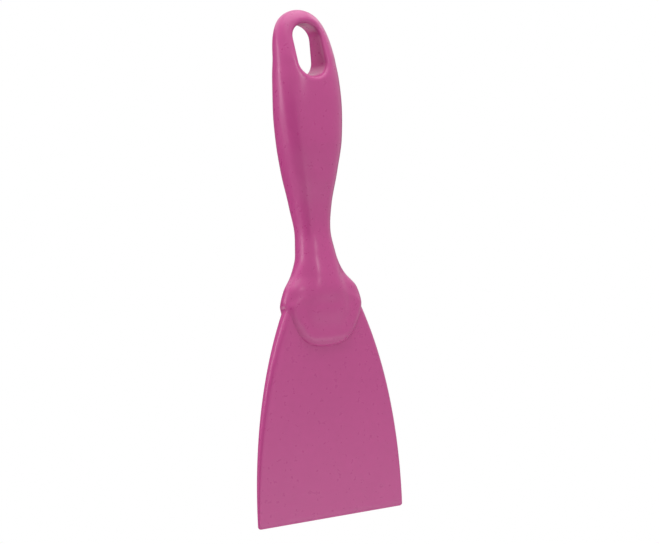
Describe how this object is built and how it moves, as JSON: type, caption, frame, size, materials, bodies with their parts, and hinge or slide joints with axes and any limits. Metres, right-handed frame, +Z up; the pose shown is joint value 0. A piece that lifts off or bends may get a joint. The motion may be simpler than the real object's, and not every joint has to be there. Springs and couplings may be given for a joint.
{
  "type": "hand scraper",
  "caption": "Plastic hand scraper: a wedge blade with bowed sides, clasped front and back by the hub's rounded tongues, and a waisted grip ending in a loop for hanging.",
  "frame": {"origin": "middle of the flat land along the scraping edge, the lowest face of the part", "axes": "+Z up the handle from the scraping edge to the loop, X across the blade's width, -Y the front face that the picture shows"},
  "size_m": [0.075, 0.025, 0.229],
  "materials": {
    "blade_plastic": "satin moulded",
    "handle_plastic": "satin moulded"
  },
  "bodies": {
    "root": {"blade": "blade_plastic", "handle": "handle_plastic"}
  },
  "joints": []
}
